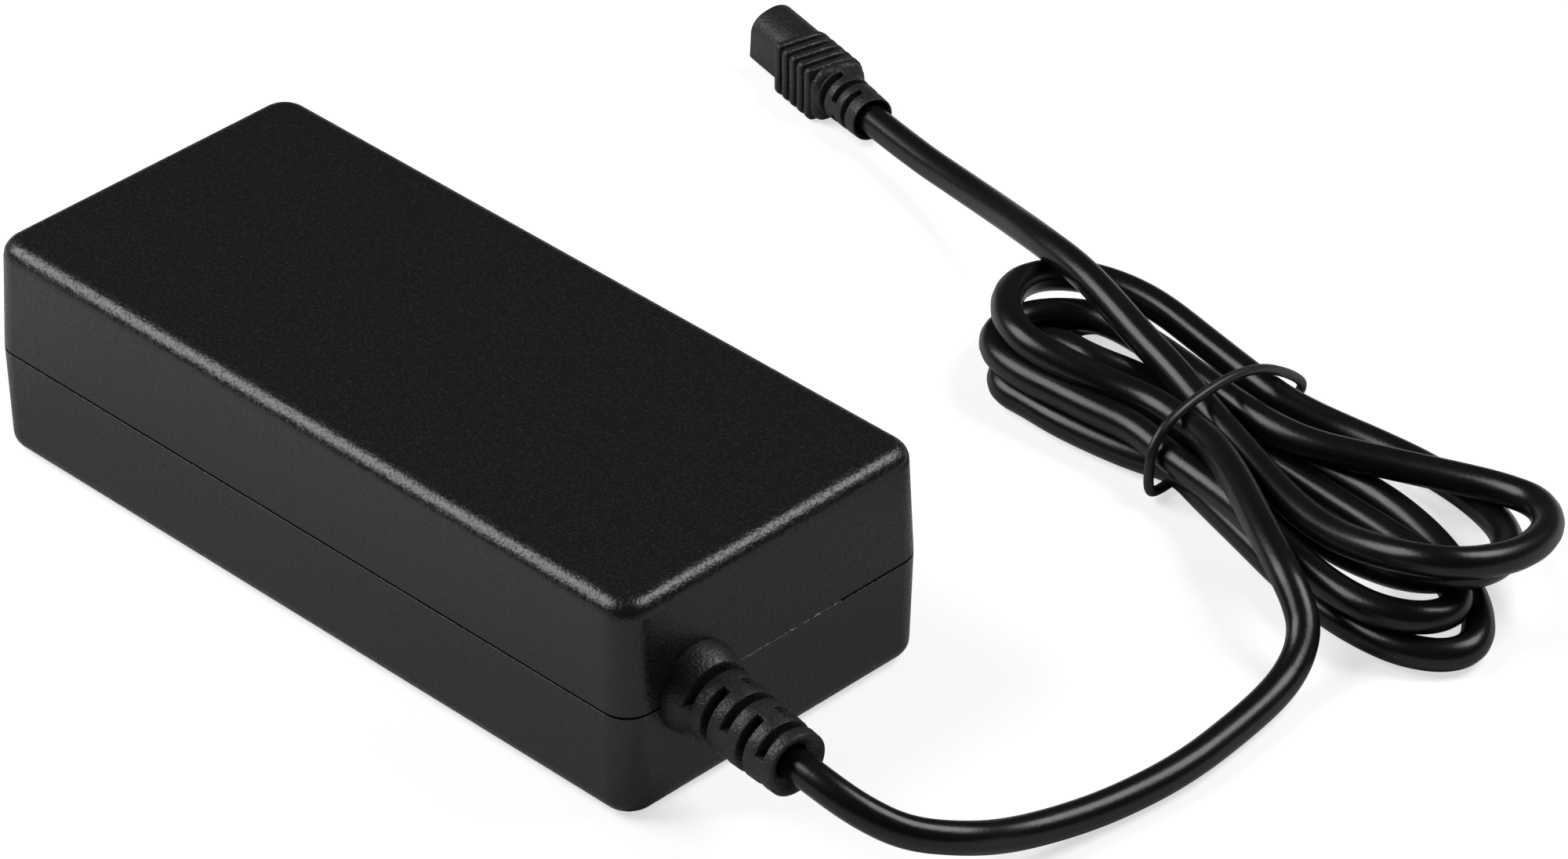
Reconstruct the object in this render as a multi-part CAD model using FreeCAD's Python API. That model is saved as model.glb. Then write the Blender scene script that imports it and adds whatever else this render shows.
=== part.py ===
import FreeCAD, Part
import math
import os

# A laptop-type power adapter: a two-shell housing with its electronics, a mains inlet in one
# end, and a low-voltage lead that leaves the other end through a slotted strain relief, lies
# on the floor as a tied hank and ends in a small ribbed plug. Millimetres, +Z up, the origin
# at the middle of the housing's underside, +X along the housing towards the lead.

# Housing
CASE_LENGTH = 130.0
CASE_WIDTH = 57.4
CASE_HEIGHT = 34.9
PARTING_Z = 17.1
CORNER_RADIUS = 4.4
TOP_EDGE_RADIUS = 2.7
BOTTOM_EDGE_RADIUS = 2.5
TOP_TAPER = 0.58
BOTTOM_TAPER = 0.37
WALL = 2.2
ROOF = 2.4
LAP_THICKNESS = 1.0
LAP_HEIGHT = 1.6
PARTING_CHAMFER = 0.2
FIT = 0.1

# Mains inlet: the recess takes the usual three-pole cord connector
INLET_RECESS_WIDTH = 24.0
INLET_RECESS_HEIGHT = 16.4
INLET_RECESS_DEPTH = 16.5
INLET_RECESS_CHAMFER = 3.6
INLET_RECESS_RADIUS = 1.0
INLET_RIM = 1.5
INLET_BACK = 3.5
INLET_CORNER_RADIUS = 1.6
INLET_FLANGE_OVERHANG = 1.6
INLET_FLANGE_THICKNESS = 1.8
PIN_WIDTH = 2.0
PIN_HEIGHT = 4.0
PIN_SPACING = 14.0
EARTH_PIN_RISE = 4.0
PIN_SETBACK = 3.0
EARTH_PIN_SETBACK = 2.2
PIN_CHAMFER = 0.5
PIN_TAIL = 3.5

# Ribs in both shells that stand behind the inlet's flange and the strain relief's
KEEPER_THICKNESS = 1.4
KEEPER_WIDTH = 12.0
RELIEF_KEEPER_OPENING = 4.2

# Circuit board, from behind the inlet to the strain relief
BOARD_THICKNESS = 1.6
BOARD_INLET_GAP = 4.2
BOARD_END_GAP = 4.6
BOARD_SIDE_GAP = 1.0
BOARD_STANDOFF = 3.6
BOARD_POST_RADIUS = 2.0
BOARD_POST_INSET = 2.5
BOARD_CORNER_RADIUS = 1.0

# Parts on the board, in two lanes between its posts; a block's size is along, across and up
LANE_END_GAP = 0.3
FUSE_RADIUS = 4.0
FUSE_HEIGHT = 7.5
CHOKE_CORE_OUTER = 7.2
CHOKE_CORE_INNER = 3.8
CHOKE_CORE_HEIGHT = 7.5
CHOKE_WIRE_DEPTH = 1.4
CHOKE_WINDING_ANGLE = 140.0
CHOKE_WINDING_START = 20.0
BRIDGE_SIZE = (3.6, 17.0, 16.0)
BRIDGE_CORNER_RADIUS = 0.6
DISC_RADIUS = 4.5
DISC_THICKNESS = 4.0
DISC_EDGE = 0.8
FILM_BOX_SIZE = (8.6, 16.0, 14.0)
FILM_BOX_CORNER_RADIUS = 1.0
BULK_RADIUS = 8.0
BULK_LENGTH = 26.0
OUTPUT_CAN_RADIUS = 4.0
OUTPUT_CAN_HEIGHT = 18.0
CAN_FOOT = 2.0
CAN_GROOVE = 0.5
CAN_RIM = 0.8
CORE_LENGTH = 22.0
CORE_HEIGHT = 17.0
CORE_DEPTH = 9.0
CORE_LEG = 3.2
CORE_CENTRE_LEG = 6.4
CORE_YOKE = 3.2
WINDING_GAP = 0.3
WINDING_CORNER_RADIUS = 3.0
HEATSINK_WIDTH = 18.0
HEATSINK_THICKNESS = 2.0
HEATSINK_FOOT = 6.0
HEATSINK_ROOF_GAP = 1.5
PACKAGE_SIZE = (4.5, 10.0, 12.5)
PACKAGE_RISE = 2.5
DRUM_RADIUS = 4.0
DRUM_WAIST_RADIUS = 3.4
DRUM_RIM = 1.6
DRUM_HEIGHT = 12.0
CHIP_SIZE = (9.5, 6.4, 1.6)
OPTOCOUPLER_SIZE = (6.5, 4.6, 2.0)
CHIP_CORNER_RADIUS = 0.4
LEAD_WIRE_RADIUS = 0.9
LEAD_WIRE_RUN = 3.4
LEAD_WIRE_INSET = 2.4
OUTPUT_WIRE_SPACING = 3.0

# Strain relief on the housing
RELIEF_SIDE_DISTANCE = 13.07
RELIEF_NECK_RADIUS = 5.2
RELIEF_FLANGE_RADIUS = 7.2
RELIEF_FLANGE_THICKNESS = 2.0
COLLAR_RADIUS = 6.75
COLLAR_TIP_RADIUS = 5.95
COLLAR_LENGTH = 3.8
RELIEF_BEND_AT = 3.0
RELIEF_DROOP = 3.5
RELIEF_YAW = -5.2
RELIEF_ROOT_RADIUS = 5.69
RELIEF_TIP_RADIUS = 4.85
RELIEF_TAIL_LENGTH = 17.1
RELIEF_TIP_EDGE = 0.3
RELIEF_SLOT_COUNT = 5
RELIEF_SLOT_START = 0.56
RELIEF_SLOT_PITCH = 3.51
RELIEF_SLOT_WIDTH = 1.39
RELIEF_CORE_RADIUS = 3.6
RELIEF_BRIDGE = 4.6
RELIEF_FLARE = 1.7
FUNNEL_DEPTH = 2.0

# Lead
CORD_DIAMETER = 4.75
CORD_FIT = 0.05
ARC_SHARE = 0.45
EXIT_RUN = 7.0
LEAD_POINTS = [
    (96.4, -16.4, 13.2),
    (101.3, -12.6, 10.1),
    (105.3, -6.1, 7.9),
    (106.4, 1.8, 4.7),
    (108.1, 11.1, 3.0),
    (109.7, 20.1, 2.4),
    (110.8, 31.4, 2.4),
    (109.7, 43.7, 2.4),
    (108.2, 53.4, 2.6),
]
HANK_ENTRY_POINTS = [
    (108.2, 53.4, 2.6),
    (107.0, 59.0, 4.2),
    (103.6, 63.6, 7.6),
    (97.4, 67.2, 10.0),
    (88.0, 73.5, 9.6),
]
HANK_EXIT_POINTS = [
    (45.0, 94.6, 9.8),
    (36.0, 97.0, 12.0),
    (27.0, 99.6, 12.8),
    (16.5, 102.6, 11.7),
]
TAIL_POINTS = [
    (16.5, 102.6, 11.7),
    (5.1, 107.3, 8.6),
    (-7.5, 111.3, 6.2),
    (-20.45, 114.38, 4.65),
    (-33.14, 117.23, 4.58),
]

# Hank of cord: one row per cross-section along X, with the near edge, the far edge, the far
# end of the flat top, the underside and the top
HANK_SECTIONS = [
    (18.0, 96.0, 104.0, 101.5, 4.0, 10.6),
    (22.0, 85.0, 108.5, 103.0, 0.1, 13.0),
    (31.0, 77.9, 111.0, 105.0, 0.1, 14.0),
    (45.0, 77.6, 110.0, 103.0, 0.1, 12.8),
    (58.5, 78.2, 107.6, 99.0, 1.7, 10.8),
    (66.0, 78.2, 107.6, 99.0, 1.7, 10.8),
    (80.0, 74.3, 110.5, 104.0, 0.1, 11.0),
    (95.0, 70.6, 110.0, 105.0, 0.1, 13.0),
    (108.0, 69.5, 108.3, 101.0, 0.1, 15.8),
    (116.5, 70.5, 104.8, 98.0, 0.1, 15.4),
    (121.4, 73.5, 95.0, 90.0, 0.6, 13.0),
    (122.8, 77.5, 88.0, 84.5, 2.6, 9.4),
]
HANK_CORNER_SHARE = 0.34

# Tie: a ring of round wire, drawn across the hank as distance from its near side and height
TIE_WIRE_RADIUS = 0.75
TIE_PLACE = (62.45, 79.5)
TIE_YAW = 3.6
TIE_CORNERS = [
    (-2.4, TIE_WIRE_RADIUS, 1.5),
    (-2.4, 11.4, 4.6),
    (8.0, 12.2, 20.0),
    (20.5, 11.8, 10.0),
    (30.6, 5.0, 4.0),
    (33.2, TIE_WIRE_RADIUS, 1.2),
]

# Plug: its own X runs from the nose to the tail, its own Z is the height above the floor
PLUG_HEADING = -12.96
NOSE_LENGTH = 9.05
NOSE_WIDTH = 8.6
NOSE_OFFSET = 0.5
NOSE_BOTTOM = 0.9
NOSE_TOP = 9.1
NOSE_LEAN = 0.5
NOSE_SHOULDER = (2.5, 0.8)
NOSE_RADII = (1.0, 1.0, 2.8, 3.0, 1.0)
GRIP_WIDTH = 10.2
GRIP_HEIGHT = 9.14
GRIP_RADII = (1.2, 1.2, 3.6, 0.8)
RIB_COUNT = 5
RIB_PITCH = 2.11
RIB_WIDTH = 1.46
GROOVE_DEPTH = 0.65
PLUG_TAIL_LENGTH = 10.68
PLUG_ROOT_RADIUS = 4.45
PLUG_TAIL_RADIUS = 3.87
PLUG_TIP_RADIUS = 3.5
PLUG_TIP_EDGE = 0.25
PLUG_AXIS_Y = -0.22
PLUG_AXIS_Z = 4.58
PLUG_SLOT_COUNT = 3
PLUG_SLOT_START = 1.95
PLUG_SLOT_PITCH = 2.7
PLUG_SLOT_WIDTH = 0.95
PLUG_CORE_RADIUS = 3.0
PLUG_BRIDGE = 3.4
PLUG_FLARE = 0.7
INSERT_WIDTH = 5.4
INSERT_HEIGHT = 5.4
INSERT_RADIUS = 0.8
INSERT_LENGTH = 9.0
CONTACT_SPACING = 2.6
CONTACT_RADIUS = 0.95
CONTACT_BORE = 0.6
CONTACT_DEPTH = 7.5
CONTACT_BORE_DEPTH = 5.0

Vector = FreeCAD.Vector
X_AXIS = Vector(1, 0, 0)
Y_AXIS = Vector(0, 1, 0)
Z_AXIS = Vector(0, 0, 1)

case_end = CASE_LENGTH / 2
relief_y = RELIEF_SIDE_DISTANCE - CASE_WIDTH / 2
cord_radius = CORD_DIAMETER / 2
inlet_z = CASE_HEIGHT / 2
inlet_width = INLET_RECESS_WIDTH + 2 * INLET_RIM
inlet_height = INLET_RECESS_HEIGHT + 2 * INLET_RIM
inlet_depth = INLET_RECESS_DEPTH + INLET_BACK
inlet_flange_x = -case_end + WALL + FIT
line_pin_z = inlet_z - EARTH_PIN_RISE / 2
relief_flange_x = case_end - WALL - FIT - RELIEF_FLANGE_THICKNESS
board_start = -case_end + inlet_depth + BOARD_INLET_GAP
board_end = case_end - WALL - BOARD_END_GAP
board_length = board_end - board_start
board_width = CASE_WIDTH - 2 * (WALL + BOARD_SIDE_GAP)
board_middle = (board_start + board_end) / 2
board_bottom = ROOF + BOARD_STANDOFF
board_top = board_bottom + BOARD_THICKNESS
component_bottom = board_top + FIT
grip_length = (RIB_COUNT - 1) * RIB_PITCH + RIB_WIDTH
plug_length = NOSE_LENGTH + grip_length + PLUG_TAIL_LENGTH


def corner_arc(before, corner, after, radius):
    """start, middle and end of the arc that rounds a corner"""
    back = (before - corner).normalize()
    ahead = (after - corner).normalize()
    half = back.getAngle(ahead) / 2
    inward = (back + ahead).normalize()
    centre = corner + inward * (radius / math.sin(half))
    reach = radius / math.tan(half)
    return corner + back * reach, centre - inward * radius, corner + ahead * reach


def rounded_outline(points, radii):
    """closed wire through points, each corner rounded to its own radius"""
    count = len(points)
    arcs = []
    for index, corner in enumerate(points):
        after = points[(index + 1) % count]
        arcs.append(corner_arc(points[index - 1], corner, after, radii[index]))
    edges = []
    for index, (start, middle, end) in enumerate(arcs):
        edges.append(Part.Arc(start, middle, end).toShape())
        edges.append(Part.LineSegment(end, arcs[(index + 1) % count][0]).toShape())
    return Part.Wire(edges)


def rectangle_outline(length, width, radius, z, centre=(0.0, 0.0)):
    """rounded rectangle at a height"""
    middle_x, middle_y = centre
    signs = [(-1, -1), (1, -1), (1, 1), (-1, 1)]
    points = [Vector(middle_x + sx * length / 2, middle_y + sy * width / 2, z) for sx, sy in signs]
    return rounded_outline(points, [radius] * len(points))


def prism(outline, direction):
    return Part.Face(outline).extrude(direction)


def rounded_block(length, width, height, radius, x, y, z):
    """upright block with rounded corners, its underside at z"""
    return prism(rectangle_outline(length, width, radius, z, (x, y)), Z_AXIS * height)


def end_outline(width, height, radii, x, y=0.0, z=0.0):
    """rounded rectangle across X, with radii from the low near corner round to the high near one"""
    corners = [(-1, -1), (1, -1), (1, 1), (-1, 1)]
    points = [Vector(x, y + sy * width / 2, z + sz * height / 2) for sy, sz in corners]
    return rounded_outline(points, radii)


def edges_at_height(shape, z):
    return [edge for edge in shape.Edges if abs(edge.BoundBox.ZMin - z) + abs(edge.BoundBox.ZMax - z) < FIT]


def revolved(profile, place=None):
    """solid turned about X from (distance along, radius) points"""
    points = [Vector(along, 0, radius) for along, radius in profile]
    face = Part.Face(Part.makePolygon(points + points[:1]))
    solid = face.revolve(Vector(), X_AXIS, 360)
    if place:
        solid.Placement = place
    return solid


def cord_edges(points):
    """straight runs joined by tangent arcs, each as large as its runs allow, and the arcs' radii"""
    edges = []
    radii = []
    here = points[0]
    for before, corner, after in zip(points, points[1:], points[2:]):
        turn = (corner - before).getAngle(after - corner)
        shorter = min((corner - before).Length, (after - corner).Length)
        radius = ARC_SHARE * shorter / math.tan(turn / 2)
        start, middle, end = corner_arc(before, corner, after, radius)
        edges.append(Part.LineSegment(here, start).toShape())
        edges.append(Part.Arc(start, middle, end).toShape())
        radii.append(radius)
        here = end
    edges.append(Part.LineSegment(here, points[-1]).toShape())
    return edges, radii


def tube(points, radius, name=None):
    """round cord or wire along a route"""
    edges, radii = cord_edges(points)
    path = Part.Wire(edges)
    section = Part.Wire(Part.makeCircle(radius, points[0], points[1] - points[0]))
    solid = path.makePipeShell([section], True, False)
    if name:
        expected = math.pi * radius ** 2 * path.Length
        listed = ", ".join(f"{value:.1f}" for value in radii)
        print(f"{name}: length {path.Length:.1f}, arcs {listed}")
        print(f"{name}: volume {solid.Volume:.1f}, section times length {expected:.1f}")
    return solid


def vectors(points):
    return [Vector(*point) for point in points]


def housing_half(far_z, taper, edge_radius, far_wall):
    """one half of the housing from the parting plane to far_z, hollowed out"""
    away = math.copysign(PARTING_CHAMFER, far_z - PARTING_Z)
    inset = 2 * PARTING_CHAMFER
    length = CASE_LENGTH - 2 * taper
    width = CASE_WIDTH - 2 * taper
    outlines = [
        rectangle_outline(CASE_LENGTH - inset, CASE_WIDTH - inset, CORNER_RADIUS, PARTING_Z),
        rectangle_outline(CASE_LENGTH, CASE_WIDTH, CORNER_RADIUS, PARTING_Z + away),
        rectangle_outline(length, width, CORNER_RADIUS, far_z),
    ]
    outside = Part.makeLoft(outlines, True, True)
    outside = outside.makeFillet(edge_radius, edges_at_height(outside, far_z))
    inner_radius = CORNER_RADIUS - WALL
    near_inside = rectangle_outline(CASE_LENGTH - 2 * WALL, CASE_WIDTH - 2 * WALL, inner_radius, PARTING_Z)
    inner_far = far_z + math.copysign(far_wall, PARTING_Z - far_z)
    far_inside = rectangle_outline(length - 2 * WALL, width - 2 * WALL, inner_radius, inner_far)
    return outside.cut(Part.makeLoft([near_inside, far_inside], True, True))


def end_openings():
    """what the two end walls let through: the strain relief's neck and the inlet"""
    neck = Part.makeCylinder(RELIEF_NECK_RADIUS + FIT, 2 * WALL,
                             Vector(case_end + WALL / 2, relief_y, PARTING_Z), -X_AXIS)
    radii = [INLET_CORNER_RADIUS + FIT] * 4
    outline = end_outline(inlet_width + 2 * FIT, inlet_height + 2 * FIT, radii,
                          -case_end - WALL / 2, 0.0, inlet_z)
    return neck.fuse(prism(outline, X_AXIS * 2 * WALL))


def post_places():
    reach_x = board_length / 2 - BOARD_POST_INSET
    reach_y = board_width / 2 - BOARD_POST_INSET
    return [(board_middle + sx * reach_x, sy * reach_y) for sx in (-1, 1) for sy in (-1, 1)]


def with_posts(shell, low, high):
    """a shell with the round posts that hold the board's corners"""
    for x, y in post_places():
        post = Part.makeCylinder(BOARD_POST_RADIUS, high - low, Vector(x, y, low))
        shell = shell.fuse(post)
    return shell.removeSplitter()


def keepers(far_z, inlet_edge, relief_edge):
    """the ribs behind the two flanges, from one shell's far wall to the edges that they stop at"""
    ribs = []
    for x, y, edge in ((inlet_flange_x + INLET_FLANGE_THICKNESS + FIT, 0.0, inlet_edge),
                       (relief_flange_x - FIT - KEEPER_THICKNESS, relief_y, relief_edge)):
        corner = Vector(x, y - KEEPER_WIDTH / 2, min(far_z, edge))
        ribs.append(Part.makeBox(KEEPER_THICKNESS, KEEPER_WIDTH, abs(far_z - edge), corner))
    return ribs


def upper_shell():
    shell = housing_half(CASE_HEIGHT, TOP_TAPER, TOP_EDGE_RADIUS, ROOF)
    inset = WALL - LAP_THICKNESS - FIT
    rebate = rounded_block(CASE_LENGTH - 2 * inset, CASE_WIDTH - 2 * inset, LAP_HEIGHT + FIT,
                           CORNER_RADIUS - inset, 0, 0, PARTING_Z)
    shell = with_posts(shell, board_top + FIT, CASE_HEIGHT - ROOF)
    shell = shell.fuse(keepers(CASE_HEIGHT - ROOF, inlet_z + inlet_height / 2 + FIT,
                               PARTING_Z + RELIEF_KEEPER_OPENING))
    posts = [Part.makeCylinder(BOARD_POST_RADIUS, CASE_HEIGHT, Vector(x, y, 0)) for x, y in post_places()]
    return shell.cut(rebate.cut(Part.makeCompound(posts))).cut(end_openings())


def lower_shell():
    shell = housing_half(0.0, BOTTOM_TAPER, BOTTOM_EDGE_RADIUS, ROOF)
    inset = WALL - LAP_THICKNESS
    outer = rounded_block(CASE_LENGTH - 2 * inset, CASE_WIDTH - 2 * inset, 2 * LAP_HEIGHT,
                          CORNER_RADIUS - inset, 0, 0, PARTING_Z - LAP_HEIGHT)
    inner = rounded_block(CASE_LENGTH - 2 * WALL, CASE_WIDTH - 2 * WALL, 2 * LAP_HEIGHT,
                          CORNER_RADIUS - WALL, 0, 0, PARTING_Z - LAP_HEIGHT)
    shell = shell.fuse(outer.cut(inner))
    shell = with_posts(shell, ROOF, board_bottom - FIT)
    shell = shell.fuse(keepers(ROOF, inlet_z - inlet_height / 2 - FIT, PARTING_Z - RELIEF_KEEPER_OPENING))
    return shell.cut(end_openings())


def relief_placement():
    """the strain relief's tail droops and leans to one side; it is measured from its bend"""
    turned = FreeCAD.Rotation(Z_AXIS, RELIEF_YAW).multiply(FreeCAD.Rotation(Y_AXIS, RELIEF_DROOP))
    start = Vector(case_end, relief_y, PARTING_Z) + turned.multVec(X_AXIS * RELIEF_BEND_AT)
    return FreeCAD.Placement(start, turned)


def slotted(tail, count, start, pitch, width, core_radius, bridge, quarter):
    """a tail along X with ring slots, each left whole at two bridges that turn by a quarter"""
    reach = 3 * core_radius
    for index in range(count):
        along = start + index * pitch
        ring = Part.makeCylinder(reach, width, Vector(along, 0, 0), X_AXIS)
        core = Part.makeCylinder(core_radius, width, Vector(along, 0, 0), X_AXIS)
        web = Part.makeBox(width, 2 * reach, bridge, Vector(along, -reach, -bridge / 2))
        if (index + quarter) % 2:
            web.rotate(Vector(), X_AXIS, 90)
        tail = tail.cut(ring.cut(core).cut(web))
    return tail


def funnel(length, flare):
    """the flared mouth round the cord at a tail's tip"""
    bottom_radius = cord_radius + CORD_FIT
    return Part.makeCone(bottom_radius, bottom_radius + flare, FUNNEL_DEPTH,
                         Vector(length - FUNNEL_DEPTH, 0, 0), X_AXIS)


def tail_profile(shoulders, length, tip_radius, edge):
    """half section of a tail, from its root's (distance along, radius) points to its tip"""
    tip = [(length - edge, tip_radius), (length, tip_radius - edge), (length, 0)]
    return [(shoulders[0][0], 0)] + shoulders + tip


def output_strain_relief():
    """a neck and flange square to the wall, and a collar and slotted tail along the lean"""
    collar_end = COLLAR_LENGTH - RELIEF_BEND_AT
    shoulders = [(-RELIEF_BEND_AT - WALL, COLLAR_RADIUS), (collar_end, COLLAR_TIP_RADIUS),
                 (collar_end, RELIEF_ROOT_RADIUS)]
    tail = revolved(tail_profile(shoulders, RELIEF_TAIL_LENGTH, RELIEF_TIP_RADIUS, RELIEF_TIP_EDGE))
    tail = slotted(tail, RELIEF_SLOT_COUNT, RELIEF_SLOT_START, RELIEF_SLOT_PITCH, RELIEF_SLOT_WIDTH,
                   RELIEF_CORE_RADIUS, RELIEF_BRIDGE, 0)
    tail = tail.cut(funnel(RELIEF_TAIL_LENGTH, RELIEF_FLARE))
    tail.Placement = relief_placement()
    behind_wall = Part.makeBox(CASE_LENGTH, CASE_WIDTH, CASE_HEIGHT,
                               Vector(FIT - case_end, -CASE_WIDTH / 2, 0))
    inner_face = -WALL - FIT
    neck = revolved([
        (inner_face - RELIEF_FLANGE_THICKNESS, 0),
        (inner_face - RELIEF_FLANGE_THICKNESS, RELIEF_FLANGE_RADIUS),
        (inner_face, RELIEF_FLANGE_RADIUS),
        (inner_face, RELIEF_NECK_RADIUS),
        (RELIEF_BEND_AT / 2, RELIEF_NECK_RADIUS),
        (RELIEF_BEND_AT / 2, 0),
    ], FreeCAD.Placement(Vector(case_end, relief_y, PARTING_Z), FreeCAD.Rotation()))
    return neck.fuse(tail.cut(behind_wall))


def inlet_recess():
    """the connector's space, with its two upper corners cut off"""
    half = INLET_RECESS_WIDTH / 2
    low = inlet_z - INLET_RECESS_HEIGHT / 2
    high = inlet_z + INLET_RECESS_HEIGHT / 2
    cut = INLET_RECESS_CHAMFER
    corners = [(-half, low), (half, low), (half, high - cut), (half - cut, high), (cut - half, high),
               (-half, high - cut)]
    points = [Vector(-case_end - FIT, y, z) for y, z in corners]
    outline = rounded_outline(points, [INLET_RECESS_RADIUS] * len(points))
    return prism(outline, X_AXIS * (INLET_RECESS_DEPTH + FIT))


def pin_places():
    """each pin's name, place across the inlet and the depth of its tip"""
    return {
        "inlet_pin_line": (PIN_SPACING / 2, line_pin_z, PIN_SETBACK),
        "inlet_pin_neutral": (-PIN_SPACING / 2, line_pin_z, PIN_SETBACK),
        "inlet_pin_earth": (0.0, line_pin_z + EARTH_PIN_RISE, EARTH_PIN_SETBACK),
    }


def inlet_pin(y, z, setback):
    """flat blade with a chamfered tip, from inside the recess to behind the body"""
    length = inlet_depth - setback + PIN_TAIL
    blade = Part.makeBox(length, PIN_WIDTH, PIN_HEIGHT,
                         Vector(-case_end + setback, y - PIN_WIDTH / 2, z - PIN_HEIGHT / 2))
    tip = [edge for edge in blade.Edges if edge.BoundBox.XMax < -case_end + setback + FIT]
    return blade.makeChamfer(PIN_CHAMFER, tip)


def inlet_body():
    outline = end_outline(inlet_width, inlet_height, [INLET_CORNER_RADIUS] * 4, -case_end, 0.0, inlet_z)
    body = prism(outline, X_AXIS * inlet_depth)
    flange = end_outline(inlet_width + 2 * INLET_FLANGE_OVERHANG, inlet_height + 2 * INLET_FLANGE_OVERHANG,
                         [INLET_CORNER_RADIUS] * 4, inlet_flange_x, 0.0, inlet_z)
    body = body.fuse(prism(flange, X_AXIS * INLET_FLANGE_THICKNESS)).cut(inlet_recess())
    for y, z, setback in pin_places().values():
        slot = Part.makeBox(inlet_depth, PIN_WIDTH, PIN_HEIGHT,
                            Vector(-case_end + setback, y - PIN_WIDTH / 2, z - PIN_HEIGHT / 2))
        body = body.cut(slot)
    return body


def circuit_board():
    return rounded_block(board_length, board_width, BOARD_THICKNESS, BOARD_CORNER_RADIUS,
                         board_middle, 0, board_bottom)


def spread(lengths):
    """the middle of each part of a lane along X, with equal gaps from one end's posts to the other's"""
    margin = BOARD_POST_INSET + BOARD_POST_RADIUS + LANE_END_GAP
    gap = (board_length - 2 * margin - sum(lengths.values())) / (len(lengths) - 1)
    x = board_start + margin
    middles = {}
    for name, length in lengths.items():
        middles[name] = x + length / 2
        x += length + gap
    return middles


def board_places():
    """where each part stands on the board"""
    power_length = HEATSINK_THICKNESS + FIT + PACKAGE_SIZE[0]
    far_lane = spread({
        "fuse": 2 * FUSE_RADIUS,
        "choke": 2 * (CHOKE_CORE_OUTER + FIT + CHOKE_WIRE_DEPTH),
        "bridge_rectifier": BRIDGE_SIZE[0],
        "primary_heatsink": power_length,
        "transformer": CORE_LENGTH,
        "output_choke": 2 * DRUM_RADIUS,
    })
    near_lane = spread({
        "thermistor": DISC_THICKNESS,
        "x_capacitor": FILM_BOX_SIZE[0],
        "bulk_capacitor": BULK_LENGTH,
        "y_capacitor": DISC_THICKNESS,
        "secondary_heatsink": power_length,
        "output_capacitor_a": 2 * OUTPUT_CAN_RADIUS,
        "output_capacitor_b": 2 * OUTPUT_CAN_RADIUS,
    })
    lane_y = board_width / 4
    places = {name: (x, lane_y) for name, x in far_lane.items()}
    places.update({name: (x, -lane_y) for name, x in near_lane.items()})
    return places


def block_on_board(size, radius, place):
    length, width, height = size
    return rounded_block(length, width, height, radius, *place, component_bottom)


def chip_under_board(size, place):
    """flat package on the board's underside"""
    length, width, height = size
    return rounded_block(length, width, height, CHIP_CORNER_RADIUS, *place, board_bottom - FIT - height)


def can(radius, length):
    """electrolytic can along X, with a rolled groove near its foot and a rounded far rim"""
    waist = radius - CAN_GROOVE
    return revolved([(0, 0), (0, radius), (CAN_FOOT, radius), (CAN_FOOT + CAN_GROOVE, waist),
                     (CAN_FOOT + 2 * CAN_GROOVE, radius), (length - CAN_RIM, radius),
                     (length, radius - CAN_RIM), (length, 0)])


def stood_up(shape, place):
    """a shape along X, turned upright on the board"""
    x, y = place
    shape.Placement = FreeCAD.Placement(Vector(x, y, component_bottom), FreeCAD.Rotation(Y_AXIS, -90))
    return shape


def output_capacitor(place):
    return stood_up(can(OUTPUT_CAN_RADIUS, OUTPUT_CAN_HEIGHT), place)


def bulk_capacitor(place):
    """the mains reservoir, lying along the board"""
    x, y = place
    lying = can(BULK_RADIUS, BULK_LENGTH)
    lying.translate(Vector(x - BULK_LENGTH / 2, y, component_bottom + BULK_RADIUS))
    return lying


def disc(place):
    """disc-shaped part that stands on its edge across X"""
    x, y = place
    part = revolved([(0, 0), (0, DISC_RADIUS - DISC_EDGE), (DISC_EDGE, DISC_RADIUS),
                     (DISC_THICKNESS - DISC_EDGE, DISC_RADIUS), (DISC_THICKNESS, DISC_RADIUS - DISC_EDGE),
                     (DISC_THICKNESS, 0)])
    part.translate(Vector(x - DISC_THICKNESS / 2, y, component_bottom + DISC_RADIUS))
    return part


def ring_section(inner, outer, height, z):
    """rectangle to turn about a vertical axis"""
    corners = [(inner, z), (outer, z), (outer, z + height), (inner, z + height)]
    points = [Vector(radius, 0, level) for radius, level in corners]
    return Part.Face(Part.makePolygon(points + points[:1]))


def choke_core(place):
    z = component_bottom + CHOKE_WIRE_DEPTH + FIT
    section = ring_section(CHOKE_CORE_INNER, CHOKE_CORE_OUTER, CHOKE_CORE_HEIGHT, z)
    core = section.revolve(Vector(), Z_AXIS, 360)
    core.translate(Vector(*place, 0))
    return core


def choke_winding(place, start_angle):
    """one of the two windings, wrapped round its share of the core"""
    wrap = CHOKE_WIRE_DEPTH + FIT
    section = ring_section(CHOKE_CORE_INNER - wrap, CHOKE_CORE_OUTER + wrap, CHOKE_CORE_HEIGHT + 2 * wrap,
                           component_bottom)
    inside = ring_section(CHOKE_CORE_INNER - FIT, CHOKE_CORE_OUTER + FIT, CHOKE_CORE_HEIGHT + 2 * FIT,
                          component_bottom + CHOKE_WIRE_DEPTH)
    winding = section.cut(inside).revolve(Vector(), Z_AXIS, CHOKE_WINDING_ANGLE)
    winding.rotate(Vector(), Z_AXIS, start_angle)
    winding.translate(Vector(*place, 0))
    return winding.Solids[0]


def core_window_width():
    return (CORE_LENGTH - CORE_CENTRE_LEG) / 2 - CORE_LEG


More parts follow.
